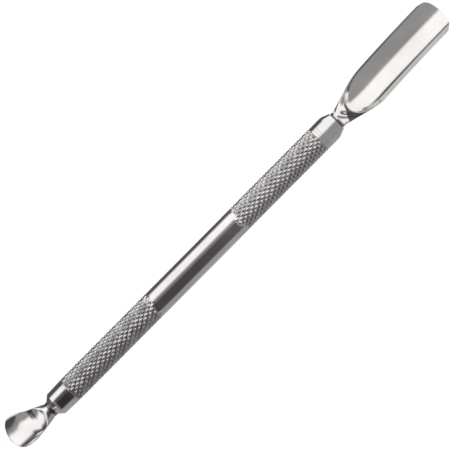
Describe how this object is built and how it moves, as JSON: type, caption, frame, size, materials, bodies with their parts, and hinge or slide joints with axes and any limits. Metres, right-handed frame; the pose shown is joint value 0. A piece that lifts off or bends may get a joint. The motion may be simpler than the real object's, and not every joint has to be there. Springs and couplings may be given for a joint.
{
  "type": "cuticle pusher",
  "caption": "Double-ended cuticle pusher: a slim knurled round handle with a plain grip band, a long trough-shaped pusher blade on one end and a small upturned spoon blade on the other.",
  "frame": {"origin": "on the handle's axis, at the middle of the plain grip band", "axes": "+X along the handle towards the long pusher blade, +Z on the hollow side of both blades, +Y completes a right-handed frame"},
  "size_m": [0.1305, 0.0094, 0.0068],
  "materials": {
    "handle_steel": "polished grip band between diamond-knurled zones",
    "collar_steel": "turned and polished",
    "blade_steel": "mirror polished"
  },
  "bodies": {
    "root": {"handle_tube": "handle_steel", "pusher_end_collar": "collar_steel", "spoon_end_collar": "collar_steel", "pusher_blade": "blade_steel", "spoon_blade": "blade_steel"}
  },
  "joints": []
}
